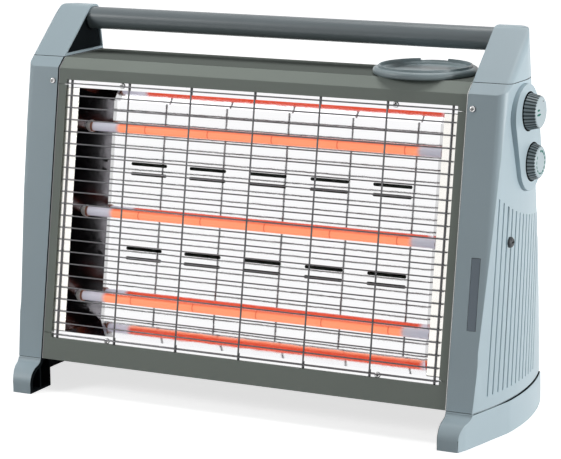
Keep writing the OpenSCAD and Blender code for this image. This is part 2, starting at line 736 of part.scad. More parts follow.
// Rails behind the reflector's lips, from end plate to end plate
rail_t = 1.2;
rail_h = 15;
rail_leg = 6;
guard_screw_x = 0.7 * opening_x;
guard_screw_in = 2.9;                   // from the edge of the opening
guard_screw_s = [opening_low + guard_screw_in, opening_high - guard_screw_in];
module guard_screw_places() {
    for (x = [-guard_screw_x, guard_screw_x], s = guard_screw_s)
        leaning() translate([x, lip_n, s]) rotate([90, 0, 0]) children();
}
module rail(low, leg_s) {
    color([0.5, 0.52, 0.52]) difference() {
        leaning() {
            translate([-clad_x, rail_n, low]) cube([2 * clad_x, rail_t, rail_h]);
            translate([-clad_x, rail_n, leg_s]) cube([2 * clad_x, rail_leg, rail_t]);
        }
        guard_screw_places() hole(screw_d, -reflector_t - rail_t - past, past);
    }
}
upper_rail_s = lip_edge_high + rail_t;
lower_rail_s = lip_edge_low - rail_t - rail_h;
module upper_rail() { rail(upper_rail_s, upper_rail_s + rail_h - rail_t); }
module lower_rail() { rail(lower_rail_s, lower_rail_s); }

// ---- Radiant unit -------------------------------------------------------------------------

tube_drop = 0.3;                        // the tubes sit this far below the middle of the opening
tube_mid = opening_mid - tube_drop;
slot_rise = 2.6;                        // the slots sit this far above the tubes' gaps
mouth_x = opening_x - end_flange_w;     // inner edge of the end flanges
throat_x = mouth_x - end_flare;         // end of the trough's back wall
lip_x = clad_x - 6;                     // end of the lips and of the end flanges
lip_cover = 5;                          // the lips run on behind the frame by this much

// End wall seen from above, as [across, depth]: flange, then the slanting wall
end_path = [[lip_x, lip_n], [mouth_x, lip_n], [throat_x, back_n]];
// Trough seen from the end, as [depth, height up the face]
trough_path = [[lip_n, opening_low - lip_cover], [lip_n, lip_edge_low], [back_n, lip_edge_low + flare],
    [back_n, lip_edge_high - flare], [lip_n, lip_edge_high], [lip_n, opening_high + lip_cover]];

// What lies beyond the outer face of a right-hand end wall, behind the lips
module beyond_end() {
    q = offset_points(end_path, reflector_t);
    run = q[2] - q[1];
    translate([0, 0, opening_low]) linear_extrude(opening_high - opening_low)
        polygon([q[1], q[2] + run / 4, [far, q[2][1] + run[1] / 4], [far, q[1][1]]]);
}

module reflector() {
    color([0.86, 0.86, 0.84]) difference() {
        leaning() difference() {
            along_x(-lip_x, 2 * lip_x) bent(trough_path, reflector_t);
            beyond_end();
            on_left() beyond_end();
            for (row = [-0.5, 0.5], side = [-0.5, 0.5], i = [0 : slot_n - 1])
                translate([(i - (slot_n - 1) / 2) * slot_pitch, 0, tube_mid + slot_rise + row * tube_pitch + side * slot_gap])
                    rotate([-90, 0, 0]) translate([0, 0, back_n - past]) linear_extrude(reflector_t + 2 * past) slot_2d(slot_l, slot_h);
        }
        guard_screw_places() hole(screw_d, -reflector_t - past, past);
    }
}

module reflector_end() {
    seam = 0.8;                         // dark gap between the end flange and the lips
    color([0.93, 0.9, 0.84]) leaning() difference() {
        intersection() {
            translate([0, 0, lip_edge_low]) linear_extrude(lip_edge_high - lip_edge_low) bent(end_path, reflector_t);
            union() {
                along_x(0, mouth_x) polygon([for (i = [1 : 4]) trough_path[i]]);
                translate([mouth_x - eps, 0, lip_edge_low + seam])
                    cube([end_flange_w + strip_w, rail_n + reflector_t, lip_edge_high - lip_edge_low - 2 * seam]);
            }
        }
        for (i = [-1 : 1]) translate([0, tube_depth, tube_mid + i * tube_pitch])
            rotate([0, 90, 0]) hole(ceramic_d, throat_x - past, clad_x);
    }
}
module left_reflector_end() { on_left() reflector_end(); }
module right_reflector_end() { reflector_end(); }

// Along a tube: glowing coil, ring, ceramic end, end of the quartz, neck through the end plate
ceramic_in = mouth_x - (tube_depth - lip_n) * end_flare / trough_d + tube_shift - ceramic_nose;
ceramic_out = clad_x - 10;
neck_out = rim_x + 6;
tube_end = clad_x - 18;
ring_l = 2.2;
ring_d = ceramic_d - 1;
lead_d = 1.6;
lead_out = neck_out + 5;
glow_x = ceramic_in - ring_l - cold_l;

module on_tube_axis(i) { leaning() translate([tube_shift, tube_depth, tube_mid + i * tube_pitch]) rotate([0, 90, 0]) children(); }
module on_all_tube_ends() { for (i = [-1 : 1]) on_tube_axis(i) for (m = [0, 1]) mirror([0, 0, m]) children(); }

module quartz_tube(i) {
    color([0.9, 0.88, 0.86]) on_tube_axis(i) difference() {
        hole(tube_d, -tube_end, tube_end);
        hole(tube_d - 2 * tube_wall, -tube_end - past, tube_end + past);
    }
}
module quartz_tube_top() { quartz_tube(1); }
module quartz_tube_middle() { quartz_tube(0); }
module quartz_tube_bottom() { quartz_tube(-1); }

module heating_coil(i) {
    color([1, 0.45, 0.25]) on_tube_axis(i) {
        hole(coil_d, -glow_x, glow_x);
        hole(lead_d, -lead_out, lead_out);
    }
}
module heating_coil_top() { heating_coil(1); }
module heating_coil_middle() { heating_coil(0); }
module heating_coil_bottom() { heating_coil(-1); }

module ceramic_ends() {
    color([0.95, 0.94, 0.9]) on_all_tube_ends() difference() {
        union() {
            hole(ceramic_d, ceramic_in, ceramic_out);
            hole(ceramic_neck_d, ceramic_out - eps, neck_out);
        }
        hole(tube_d, ceramic_in - past, tube_end);
        hole(lead_d, ceramic_in, neck_out + past);
    }
}
module tube_rings() {
    color([0.5, 0.3, 0.22]) on_all_tube_ends() difference() {
        hole(ring_d, ceramic_in - ring_l, ceramic_in);
        hole(tube_d, ceramic_in - ring_l - past, ceramic_in + past);
    }
}

// Level wires in the opening, welded to upright wires that pass behind the frame
module wire_guard() {
    weld = 0.2;
    level_x = opening_x - 1.5;
    upright_n0 = sheet_back + wire_d / 2;
    behind = 3.6;
    pitch = 2 * (opening_x - 2) / (upright_n - 1);
    outer_x = opening_x - 6;            // the outer upright wires clear the side strips
    color([0.8, 0.8, 0.78]) leaning() {
        for (i = [0 : wire_n - 1])
            translate([0, upright_n0 - wire_d + weld, opening_mid + (i - (wire_n - 1) / 2) * wire_pitch])
                rotate([0, 90, 0]) cylinder(d = wire_d, h = 2 * level_x, center = true, $fn = 24);
        for (i = [0 : upright_n - 1]) translate([max(-outer_x, min(outer_x, (i - (upright_n - 1) / 2) * pitch)), upright_n0, 0])
            translate([0, 0, opening_low - behind]) cylinder(d = wire_d, h = opening_high - opening_low + 2 * behind, $fn = 24);
    }
}

// ---- Screws -------------------------------------------------------------------------------

module guard_screws() { color([0.75, 0.75, 0.75]) guard_screw_places() pan_screw(screw_head_d, screw_head_h, screw_l); }
module post_screws() {
    color([0.8, 0.8, 0.8]) for (m = [0, 1]) mirror([m, 0, 0])
        leaning() translate([post_screw_x, 0, post_screw_s]) rotate([90, 0, 0]) pan_screw(screw_head_d, screw_head_h, screw_l + sheet);
}
module side_screws() {
    color([0.15, 0.15, 0.16]) for (m = [0, 1]) mirror([m, 0, 0])
        translate([side_seat_x, side_screw_y, side_screw_z]) rotate([0, 90, 0])
            pan_screw(side_head_d, side_head_h, side_seat_x - clad_x + 4);
}
module foot_screws() {
    color([0.5, 0.5, 0.5]) for (m = [0, 1], p = foot_screw_at) mirror([m, 0, 0])
        translate([p[0], p[1], foot_h - foot_wall]) rotate([180, 0, 0])
            pan_screw(screw_head_d, screw_head_h, foot_wall + wall + foot_boss_h - 2);
}
module bracket_screws() {
    color([0.5, 0.5, 0.5]) for (m = [0, 1], p = bracket_screw_at) mirror([m, 0, 0])
        translate([p[0], p[1], seam_z - wall]) rotate([180, 0, 0])
            pan_screw(screw_head_d, screw_head_h, wall + bracket_boss_h - 2);
}
module rear_screws() { color([0.5, 0.5, 0.5]) rear_screw_places() pan_screw(screw_head_d, screw_head_h, screw_l); }

// ---- Controls -----------------------------------------------------------------------------

module bezel_outline(t) {
    egg([bezel_top_y, bezel_top_z], bezel_top_r - t, [bezel_low_y, bezel_low_z], bezel_low_r - t);
}
module at_selector() { translate([0, selector_y, selector_z]) rotate([0, 90, 0]) children(); }
module at_thermostat() { translate([0, thermostat_y, thermostat_z]) rotate([0, 90, 0]) children(); }

bezel_plate = 2.5;
bezel_wall = 2.2;
bush_thread_d = 9.4;
bush_out = bezel_x + 3.6;
nut_af = 14;
nut_h = 2.2;

// Raised boss with a flange that bears on the inside of the housing
module control_bezel() {
    flange_w = 2;
    flange_t = 2;
    deep = bezel_x - bezel_depth;
    color([0.63, 0.71, 0.74]) difference() {
        union() {
            along_x(deep, bezel_depth) bezel_outline(0);
            difference() {
                intersection() {
                    along_x(deep, bezel_depth) bezel_outline(-flange_w);
                    housing_form(wall, rim_x) housing_side(wall, foot_h + wall, seam_z - wall);
                }
                housing_form(wall + flange_t, rim_x - past) housing_side(wall, foot_h, seam_z);
            }
        }
        along_x(deep - past, bezel_depth - bezel_plate + past) bezel_outline(bezel_wall);
        at_selector() hole(bush_thread_d, bezel_x - bezel_plate - past, bezel_x + past);
        at_thermostat() hole(bush_thread_d, bezel_x - bezel_plate - past, bezel_x + past);
    }
}

// Knob on the X axis: tapered, fluted round its rim, hollow below to clear the nut
module knob(l) {
    foot = bezel_x + knob_air;
    grip_r = 1.2;
    hollow_d = 20;
    hollow_h = 3.9;
    crown = 1;                          // height of the plain rim round the face
    taper = (knob_d - knob_face_d) / 2 / l;
    color([0.68, 0.75, 0.78]) difference() {
        rotate_extrude() polygon([[spindle_d / 2, foot + hollow_h], [hollow_d / 2, foot + hollow_h],
            [hollow_d / 2, foot], [knob_d / 2, foot], [knob_face_d / 2 + taper * crown, foot + l - crown],
            [knob_face_d / 2 - crown, foot + l], [0, foot + l], [0, foot + l - knob_roof], [spindle_d / 2, foot + l - knob_roof]]);
        for (i = [0 : knob_flute_n - 1]) rotate([0, 0, i * 360 / knob_flute_n])
            translate([knob_d / 2 + grip_r / 2, 0, 0]) hole(2 * grip_r, foot - past, foot + l - crown, $fn = 24);
    }
}
knob_roof = 1.8;
module selector_knob() { at_selector() knob(selector_knob_l); }
module thermostat_knob() { at_thermostat() knob(thermostat_knob_l); }

// Spindles end under the knobs' roofs and inside the bodies they turn
spindle_in = bezel_x - 16;
module spindle(l) { color([0.7, 0.7, 0.68]) hole(spindle_d, spindle_in, bezel_x + knob_air + l - knob_roof); }
module selector_spindle() { at_selector() spindle(selector_knob_l); }
module thermostat_spindle() { at_thermostat() spindle(thermostat_knob_l); }

// Body behind the bezel's plate, with a threaded bush through it and tags at the back
module control_body(w, h, d) {
    face = bezel_x - bezel_plate;
    tag = [0.8, 6.3, 8];
    end_gap = 0.4;
    difference() {
        union() {
            translate([-h / 2, -w / 2, face - d]) cube([h, w, d]);
            hole(bush_thread_d, face - eps, bush_out);
            for (s = [-1, 0, 1]) translate([s * h / 3 - tag[0] / 2, -tag[1] / 2, face - d - tag[2]])
                cube([tag[0], tag[1], tag[2] + eps]);
        }
        hole(spindle_d + 2 * running, spindle_in - end_gap, bush_out + past);
    }
}
module selector_switch() { color([0.2, 0.2, 0.22]) at_selector() control_body(28, 30, 24); }
module thermostat_body() { color([0.85, 0.83, 0.78]) at_thermostat() control_body(26, 28, 20); }

module bush_nut() {
    difference() {
        translate([0, 0, bezel_x]) cylinder(d = nut_af / cos(30), h = nut_h, $fn = 6);
        hole(bush_thread_d, bezel_x - past, bezel_x + nut_h + past);
    }
}
module bush_nuts() {
    color([0.75, 0.72, 0.6]) {
        at_selector() bush_nut();
        at_thermostat() bush_nut();
    }
}

// ---- Indicator ----------------------------------------------------------------------------

lens_flange = 1.6;
lens_flange_t = 1.2;
lamp_d = 6;
lamp_l = 28;
lens_sunk = 0.3;

module lens_block(t, from, to) {
    leaning() translate([rim_x + lens_x - lens_w / 2 - t, from, lens_s - lens_h / 2 - t])
        cube([lens_w + 2 * t, to - from, lens_h + 2 * t]);
}
module indicator_lens() {
    color([0.45, 0.45, 0.52]) {
        lens_block(0, lens_sunk, wall + eps);
        lens_block(lens_flange, wall, wall + lens_flange_t);
    }
}
module indicator_lamp() {
    color([0.9, 0.6, 0.5]) leaning()
        translate([rim_x + lens_x, wall + lens_flange_t + lamp_d / 2, lens_s - lamp_l / 2])
            cylinder(d = lamp_d, h = lamp_l);
}

// ---- Inside the body ----------------------------------------------------------------------

floor_z = foot_h + sheet;
floor_y = back_y(floor_z) - 43;         // the floor's pieces stand this far from the rear panel

// Sealed ball-type switch that opens when the heater leans
module tip_over_switch() {
    size = [30, 22, 18];
    tab = [8, 22, 1.5];
    color([0.88, 0.88, 0.86]) translate([span_w / 8, floor_y, floor_z]) difference() {
        union() {
            translate([-size[0] / 2, -size[1] / 2, 0]) cube(size);
            for (s = [-1, 1]) translate([s * (size[0] + tab[0] - eps) / 2 - tab[0] / 2, -tab[1] / 2, 0]) cube(tab);
        }
        for (s = [-1, 1]) translate([s * (size[0] + tab[0]) / 2, 0, 0]) hole(screw_d, -past, tab[2] + past);
    }
}

// Bimetal disc on the back of the reflector, between the slots
module thermal_cutout() {
    disc_d = 17;
    disc_h = 7;
    plate = [26, 10, 0.8];
    color([0.15, 0.15, 0.15]) leaning() translate([slot_pitch / 2, back_n + reflector_t, tube_mid]) rotate([-90, 0, 0]) {
        translate([-plate[0] / 2, -plate[1] / 2, 0]) cube(plate);
        cylinder(d = disc_d, h = disc_h);
        for (s = [-1, 1]) translate([s * 5 - 0.4, -3, disc_h - eps]) cube([0.8, 6, 8]);
    }
}

module terminal_block() {
    ways = 3;
    way = [12, 20, 14];
    color([0.92, 0.92, 0.9]) translate([cord_x, floor_y, floor_z]) difference() {
        translate([-ways * way[0] / 2, -way[1] / 2, 0]) cube([ways * way[0], way[1], way[2]]);
        for (i = [-1 : 1], y = [-5, 5]) translate([i * way[0], y, 0]) hole(4, way[2] - 6, way[2] + past);
        for (i = [-1 : 1]) translate([i * way[0], 0, way[2] / 3]) rotate([90, 0, 0]) cylinder(d = 3.2, h = way[1] + past, center = true);
    }
}

// Bush where the supply cord enters
module cord_bush() {
    flange_d = 20;
    flange_t = 2;
    bore_d = 8;
    tail = 10;
    color([0.1, 0.1, 0.1]) back_leaning() translate([cord_x, sheet_back, cord_s]) rotate([-90, 0, 0]) difference() {
        union() {
            hole(flange_d, -flange_t, 0);
            hole(bush_d, -eps, tail);
        }
        hole(bore_d, -flange_t - past, tail + past);
    }
}

// ---- Water tray ---------------------------------------------------------------------------

// Turned dish: ring that rests on the hood, lip, ledge and shallow floor, with a notch at the
// back of the lip and a spigot below
module water_tray() {
    ring_mid = tray_ring_h / 2 - 0.15;
    ring_r = tray_ring_h - ring_mid;
    ledge = 6.2;                        // height of the ledge above the hood
    dish = 3.6;                         // height of the floor above the hood
    below = dish - tray_wall;
    ease = 1.5;                         // bevel between ledge and floor, and at the spigot's end
    notch_turn = 11.5;
    lip_in = tray_lip_r - tray_wall;
    color([0.36, 0.42, 0.45]) translate([tray_x, tray_y, hood_z]) difference() {
        rotate_extrude() {
            polygon([[0, below], [spigot_r - tray_wall, below], [spigot_r - tray_wall, -spigot_l],
                [spigot_r - ease / 2, -spigot_l], [spigot_r, ease - spigot_l], [spigot_r, below],
                [tray_lip_r, below], [tray_lip_r, tray_lip_h], [lip_in, tray_lip_h], [lip_in, ledge],
                [dish_r, ledge], [dish_r - ease, dish], [0, dish]]);
            intersection() {
                translate([tray_ring_r - ring_r, ring_mid]) circle(ring_r);
                translate([tray_ring_r - 2 * ring_r, 0]) square([2 * ring_r, tray_ring_h]);
            }
        }
        rotate([0, 0, notch_turn]) translate([-notch_w / 2, tray_lip_r - 4 * tray_wall, tray_lip_h - notch_h])
            cube([notch_w, 5 * tray_wall, notch_h + past]);
    }
}

// ---- Assembly -----------------------------------------------------------------------------

placed() left_end_housing();
placed() right_end_housing();
placed() left_end_plate();
placed() right_end_plate();
placed() left_handle_bracket();
placed() right_handle_bracket();
placed() left_bracket_cover();
placed() right_bracket_cover();
placed() handle_tube();
placed() left_foot();
placed() right_foot();
placed() hood();
placed() bottom_panel();
placed() rear_panel();
placed() left_side_strip();
placed() right_side_strip();
placed() upper_rail();
placed() lower_rail();
placed() reflector();
placed() left_reflector_end();
placed() right_reflector_end();
placed() quartz_tube_top();
placed() quartz_tube_middle();
placed() quartz_tube_bottom();
placed() heating_coil_top();
placed() heating_coil_middle();
placed() heating_coil_bottom();
placed() ceramic_ends();
placed() tube_rings();
placed() wire_guard();
placed() guard_screws();
placed() post_screws();
placed() side_screws();
placed() foot_screws();
placed() bracket_screws();
placed() rear_screws();
placed() control_bezel();
placed() selector_knob();
placed() selector_spindle();
placed() selector_switch();
placed() thermostat_knob();
placed() thermostat_spindle();
placed() thermostat_body();
placed() bush_nuts();
placed() indicator_lens();
placed() indicator_lamp();
placed() tip_over_switch();
placed() thermal_cutout();
placed() terminal_block();
placed() cord_bush();
placed() water_tray();
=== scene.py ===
# Looks of a free-standing quartz radiant heater: three glowing tubes before a bright
# reflector behind a wire guard, between two moulded ends that carry a handle and controls.
# Lengths are in metres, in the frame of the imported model.
import math

import bpy
from mathutils import Euler, Matrix, Vector


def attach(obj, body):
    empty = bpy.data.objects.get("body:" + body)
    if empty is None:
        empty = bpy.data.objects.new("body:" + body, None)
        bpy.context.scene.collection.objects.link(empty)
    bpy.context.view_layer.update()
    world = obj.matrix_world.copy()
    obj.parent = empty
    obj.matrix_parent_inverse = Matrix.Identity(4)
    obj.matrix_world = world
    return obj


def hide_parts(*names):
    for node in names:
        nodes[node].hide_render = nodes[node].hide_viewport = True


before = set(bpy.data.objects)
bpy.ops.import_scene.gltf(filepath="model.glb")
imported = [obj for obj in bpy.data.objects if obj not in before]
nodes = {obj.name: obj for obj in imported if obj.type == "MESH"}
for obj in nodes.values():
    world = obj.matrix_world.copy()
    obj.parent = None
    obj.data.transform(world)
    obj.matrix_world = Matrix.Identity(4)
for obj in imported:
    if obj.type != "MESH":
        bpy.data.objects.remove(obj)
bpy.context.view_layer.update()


# ---- Camera -----------------------------------------------------------------------------
# A long lens looks down on the heater from the right of its radiant face, from the height
# of a person's waist. It is tilted by less than half a degree.
camera_place = (1.1484, -2.2563, 0.7160)
camera_turn = 0.470
camera_down = 0.205
camera_tilt = -0.007
camera_lens = 150.7
camera_reach = 50

bpy.ops.object.camera_add(location=camera_place)
camera = bpy.context.object
turned = Euler((math.pi / 2 - camera_down, 0, camera_turn)).to_matrix()
camera.rotation_euler = (turned @ Matrix.Rotation(camera_tilt, 3, "Z")).to_euler()
camera.data.lens = camera_lens
camera.data.clip_end = camera_reach
bpy.context.scene.camera = camera
bpy.context.scene.view_settings.view_transform = "Standard"


# ---- Studio -----------------------------------------------------------------------------
# White paper under and behind the heater, one wide soft lamp low on the right, one above
# and a weak one in front on the left. Metal and glass see the white paper all round.
paper_white = (1.0, 1.0, 1.0, 1)
room_tint = (0.96, 0.98, 1.0, 1)
room_light = 0.08
side_power = 68
top_power = 28
front_power = 36
floor_size = 12
floor_white = (0.8, 0.8, 0.8, 1)
floor_tone = (0.20, 0.20, 0.20, 1)
near_glow = 0.72
near_reach = 0.45
far_reach = 1.3


def add_node(tree, kind, **settings):
    """A new shader node with its options set."""
    node = tree.nodes.new(kind)
    for name, value in settings.items():
        setattr(node, name, value)
    return node


world = bpy.data.worlds.new("studio")
bpy.context.scene.world = world
world.use_nodes = True
tree = world.node_tree
tree.nodes.clear()
path = add_node(tree, "ShaderNodeLightPath")
seen = add_node(tree, "ShaderNodeMath", operation="MAXIMUM")
seen_too = add_node(tree, "ShaderNodeMath", operation="MAXIMUM")
dim = add_node(tree, "ShaderNodeBackground")
dim.inputs["Color"].default_value = room_tint
dim.inputs["Strength"].default_value = room_light
bright = add_node(tree, "ShaderNodeBackground")
bright.inputs["Color"].default_value = paper_white
choose = add_node(tree, "ShaderNodeMixShader")
output = add_node(tree, "ShaderNodeOutputWorld")
tree.links.new(path.outputs["Is Camera Ray"], seen.inputs[0])
tree.links.new(path.outputs["Is Glossy Ray"], seen.inputs[1])
tree.links.new(seen.outputs[0], seen_too.inputs[0])
tree.links.new(path.outputs["Is Transmission Ray"], seen_too.inputs[1])
tree.links.new(seen_too.outputs[0], choose.inputs[0])
tree.links.new(dim.outputs[0], choose.inputs[1])
tree.links.new(bright.outputs[0], choose.inputs[2])
tree.links.new(choose.outputs[0], output.inputs["Surface"])


def lamp(name, place, aim, width, height, power):
    """A soft oblong lamp of so many watts at a place, turned to the point it lights."""
    bpy.ops.object.light_add(type="AREA", location=place)
    light = bpy.context.object
    light.name = name
    light.rotation_euler = (Vector(aim) - Vector(place)).to_track_quat("-Z", "Y").to_euler()
    light.data.shape = "RECTANGLE"
    light.data.size = width
    light.data.size_y = height
    light.data.energy = power
    return light


lamp("side_lamp", place=(2.9, 0.1, 0.42), aim=(0.2, 0, 0.18), width=1.6, height=1.2, power=side_power)
lamp("top_lamp", place=(0.1, 0.35, 2.6), aim=(0, 0, 0.2), width=2.0, height=1.2, power=top_power)
lamp("front_lamp", place=(-2.4, -1.9, 1.6), aim=(0, 0, 0.3), width=1.2, height=1.0, power=front_power)

# The floor is white to the eye, and whiter far away, and keeps the heater's soft shadow
bpy.ops.mesh.primitive_plane_add(size=floor_size, location=(0, 0, 0))
floor = bpy.context.object
floor.name = "studio_floor"
paper = bpy.data.materials.new("studio_paper")
paper.use_nodes = True
tree = paper.node_tree
tree.nodes.clear()
path = add_node(tree, "ShaderNodeLightPath")
where = add_node(tree, "ShaderNodeTexCoord")
away = add_node(tree, "ShaderNodeVectorMath", operation="LENGTH")
lift = add_node(tree, "ShaderNodeMapRange", interpolation_type="SMOOTHSTEP")
lift.inputs["From Min"].default_value = near_reach
lift.inputs["From Max"].default_value = far_reach
lift.inputs["To Min"].default_value = near_glow
lift.inputs["To Max"].default_value = 1
diffuse = add_node(tree, "ShaderNodeBsdfDiffuse")
diffuse.inputs["Color"].default_value = floor_white
glow = add_node(tree, "ShaderNodeEmission")
lifted = add_node(tree, "ShaderNodeAddShader")
plain = add_node(tree, "ShaderNodeBsdfDiffuse")
plain.inputs["Color"].default_value = floor_tone
seen = add_node(tree, "ShaderNodeMath", operation="MAXIMUM")
choose = add_node(tree, "ShaderNodeMixShader")
output = add_node(tree, "ShaderNodeOutputMaterial")
tree.links.new(where.outputs["Object"], away.inputs[0])
tree.links.new(away.outputs["Value"], lift.inputs["Value"])
tree.links.new(lift.outputs["Result"], glow.inputs["Strength"])
tree.links.new(path.outputs["Is Camera Ray"], seen.inputs[0])
tree.links.new(path.outputs["Is Glossy Ray"], seen.inputs[1])
tree.links.new(seen.outputs[0], choose.inputs[0])
tree.links.new(diffuse.outputs[0], lifted.inputs[0])
tree.links.new(glow.outputs[0], lifted.inputs[1])
tree.links.new(plain.outputs[0], choose.inputs[1])
tree.links.new(lifted.outputs[0], choose.inputs[2])
tree.links.new(choose.outputs[0], output.inputs["Surface"])
floor.data.materials.append(paper)


# ---- Feet -------------------------------------------------------------------------------
# Two hollow mouldings of blue-grey plastic with a finely eroded surface, open towards the
# body and ribbed inside, screwed up into the end housings from below. Their insides are
# painted black: painted shade.
centre_x = -0.0078
rim_x = 0.247
housing_blue = (0.47, 0.585, 0.64)
housing_gloss = 0.42
moulded_edge = 0.0007
pocket_reach = 0.045
pocket_turn = 0.3
foot_rim = 0.0006
ray_step = 0.0002
weld = 0.00001
flat_within = math.radians(0.4)
smear_finer = 4
grain_strength = 0.5


def grained(name, colour, roughness, metallic=0.0, shade=0.06, blotch=14.0, grain=1500.0,
            depth=0.00004, spread=0.05, level=0.5, ior=1.5):
    """A node material with soft blotches of colour, uneven gloss and a fine surface grain."""
    made = bpy.data.materials.new(name)
    made.use_nodes = True
    tree = made.node_tree
    shader = tree.nodes["Principled BSDF"]
    shader.inputs["Metallic"].default_value = metallic
    shader.inputs["Specular IOR Level"].default_value = level
    shader.inputs["IOR"].default_value = ior
    where = add_node(tree, "ShaderNodeTexCoord")
    cloud = add_node(tree, "ShaderNodeTexNoise")
    cloud.inputs["Scale"].default_value = blotch
    cloud.inputs["Detail"].default_value = 4
    tone = add_node(tree, "ShaderNodeMix", data_type="RGBA")
    tone.inputs["A"].default_value = (*[c * (1 - shade) for c in colour], 1)
    tone.inputs["B"].default_value = (*[min(1, c * (1 + shade)) for c in colour], 1)
    smear = add_node(tree, "ShaderNodeTexNoise")
    smear.inputs["Scale"].default_value = blotch * smear_finer
    smear.inputs["Detail"].default_value = 3
    gloss = add_node(tree, "ShaderNodeMapRange")
    gloss.inputs["To Min"].default_value = max(0.0, roughness - spread)
    gloss.inputs["To Max"].default_value = roughness + spread
    fine = add_node(tree, "ShaderNodeTexNoise")
    fine.inputs["Scale"].default_value = grain
    fine.inputs["Detail"].default_value = 2
    bump = add_node(tree, "ShaderNodeBump")
    bump.inputs["Strength"].default_value = grain_strength
    bump.inputs["Distance"].default_value = depth
    for texture in (cloud, smear, fine):
        tree.links.new(where.outputs["Object"], texture.inputs["Vector"])
    tree.links.new(cloud.outputs["Fac"], tone.inputs["Factor"])
    tree.links.new(tone.outputs["Result"], shader.inputs["Base Color"])
    tree.links.new(smear.outputs["Fac"], gloss.inputs["Value"])
    tree.links.new(gloss.outputs["Result"], shader.inputs["Roughness"])
    tree.links.new(fine.outputs["Fac"], bump.inputs["Height"])
    tree.links.new(bump.outputs["Normal"], shader.inputs["Normal"])
    return made


def alone(piece):
    """Select one piece only and make it the active one."""
    bpy.ops.object.select_all(action="DESELECT")
    piece.select_set(True)
    bpy.context.view_layer.objects.active = piece


def apply_modifier(piece, kind, **settings):
    """Give a piece a modifier with these settings and apply it to the mesh."""
    alone(piece)
    modifier = piece.modifiers.new(kind.lower(), kind)
    for name, value in settings.items():
        setattr(modifier, name, value)
    bpy.ops.object.modifier_apply(modifier=modifier.name)


def bevel_edges(piece, wanted, width, segments):
    """Round off the edges for which wanted(a, b) is true, given their two ends."""
    alone(piece)
    bpy.ops.object.mode_set(mode="EDIT")
    bpy.ops.mesh.select_mode(type="EDGE")
    bpy.ops.mesh.select_all(action="DESELECT")
    bpy.ops.object.mode_set(mode="OBJECT")
    points = piece.data.vertices
    for edge in piece.data.edges:
        a, b = edge.vertices
        edge.select = bool(wanted(points[a].co, points[b].co))
    bpy.ops.object.mode_set(mode="EDIT")
    bpy.ops.mesh.bevel(offset=width, segments=segments, affect="EDGES")
    bpy.ops.mesh.select_mode(type="VERT")
    bpy.ops.object.mode_set(mode="OBJECT")


def merged_copy(node, piece_name):
    """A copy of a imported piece, its loose triangles joined into whole faces."""
    piece = bpy.data.objects.new(piece_name, nodes[node].data.copy())
    bpy.context.scene.collection.objects.link(piece)
    alone(piece)
    bpy.ops.mesh.customdata_custom_splitnormals_clear()
    bpy.ops.object.mode_set(mode="EDIT")
    bpy.ops.mesh.select_all(action="SELECT")
    bpy.ops.mesh.remove_doubles(threshold=weld)
    bpy.ops.mesh.dissolve_limited(angle_limit=flat_within)
    bpy.ops.object.mode_set(mode="OBJECT")
    return piece


def finish_copy(piece, node, material, edge, segments=2, sharp=30, body="heater"):
    """Break a moulding's edges, shade it smooth between them and give it its place."""
    apply_modifier(piece, "BEVEL", width=edge, segments=segments, limit_method="ANGLE",
                   angle_limit=math.radians(sharp), use_clamp_overlap=False, miter_outer="MITER_ARC")
    bpy.ops.object.shade_smooth_by_angle(angle=math.radians(sharp))
    apply_modifier(piece, "WEIGHTED_NORMAL", keep_sharp=True)
    piece.data.materials.clear()
    piece.data.materials.append(material)
    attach(piece, body)
    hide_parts(node)
    return piece


def second_material(piece, material, wanted):
    """Give the faces for which wanted(face) is true another material than the piece's first."""
    piece.data.materials.append(material)
    slot = len(piece.data.materials) - 1
    for face in piece.data.polygons:
        if wanted(face):
            face.material_index = slot


housing_plastic = grained("housing_plastic", housing_blue, housing_gloss)
black_plastic = grained("black_plastic", (0.011, 0.014, 0.016), 0.6, level=0.05, ior=1.15)
for side, sign in (("left", -1), ("right", 1)):
    foot = merged_copy(side + "_foot", side + "_foot_moulding")
    finish_copy(foot, side + "_foot", housing_plastic, moulded_edge)

    def in_pocket(face):
        """True where a face looks towards the body, or at another wall of the foot near by."""
        if sign * face.normal.x < -pocket_turn:
            return True
        if sign * (face.center.x - centre_x) < rim_x + foot_rim:
            return False
        start = face.center + face.normal * ray_step
        return foot.ray_cast(start, face.normal, distance=pocket_reach)[0]

    # The faces inside the pockets are painted black: painted shade.
    second_material(foot, black_plastic, in_pocket)


# ---- End housings -----------------------------------------------------------------------
# Hollow mouldings of the same plastic: a flat front post, a side that bulges, with fine
# flutes moulded in, and a shoulder that slopes back. The edges that meet the bracket, the
# foot and the sheet-metal body lie in shadow and are painted black: painted shade.
housing_edge = 0.0005
housing_rim = 0.0016
seam_z = 0.371
groove_z = 0.036
seam_reach = 0.0008
for side, sign in (("left", -1), ("right", 1)):
    housing = merged_copy(side + "_end_housing", side + "_housing_moulding")
    finish_copy(housing, side + "_end_housing", housing_plastic, housing_edge)

    def in_joint(face):
        """True on the edges that meet the bracket, the foot or the sheet-metal body."""
        at_seam = abs(face.center.z - seam_z) < seam_reach
        at_groove = abs(face.center.z - groove_z) < seam_reach
        return at_seam or at_groove or sign * (face.center.x - centre_x) < rim_x + housing_rim

    # These joint faces are painted black: painted shade.
    second_material(housing, black_plastic, in_joint)


# ---- Sheet-metal body -------------------------------------------------------------------
# Hood, bottom panel, rear panel and side strips of bent steel sheet under grey-olive
# powder paint, which softens the bends. The hood's flat top is painted darker and duller:
# painted shade. Steel end plates and rails behind them carry the sheets.
body_olive = (0.35, 0.39, 0.355)
top_shade_share = 0.52
top_turn = 0.95
sheet_edge = 0.0004
sheet_sharp = 35
bend_width = 0.00055
bend_segments = 3
bend_least = 0.4
bend_level = 0.0001
body_paint = grained("body_paint", body_olive, 0.7, shade=0.05, grain=900.0, depth=0.00003, ior=1.04)
painted_shade_top = grained("painted_shade_top", [top_shade_share * c for c in body_olive], 0.85, shade=0.05, grain=900.0,
                    depth=0.00003, ior=1.02)


